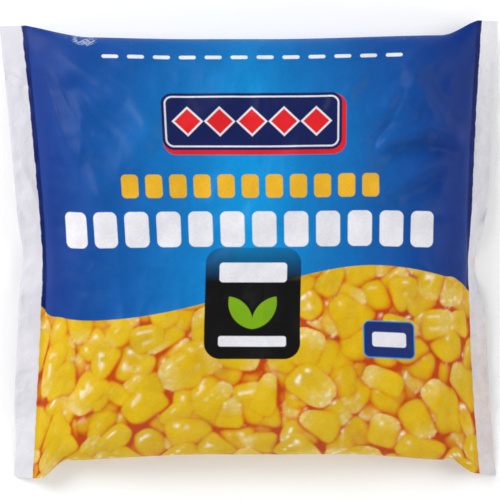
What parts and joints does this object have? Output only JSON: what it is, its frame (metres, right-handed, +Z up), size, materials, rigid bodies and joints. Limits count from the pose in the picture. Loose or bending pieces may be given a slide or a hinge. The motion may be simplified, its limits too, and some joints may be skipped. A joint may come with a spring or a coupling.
{
  "type": "frozen vegetable bag",
  "caption": "Filled pillow bag of printed film with frozen sweetcorn, welded flat across both ends, lying on its back.",
  "frame": {"origin": "on the floor under the middle of the bag, at the centre of its bounding box's underside", "axes": "+X from the left welded strip to the right one, +Y towards the pack's top edge, +Z up from the floor through the printed face"},
  "size_m": [0.2808, 0.2572, 0.0427],
  "materials": {
    "printed_film": "satin printed polythene film"
  },
  "bodies": {
    "root": {"bag": "printed_film"}
  },
  "joints": []
}
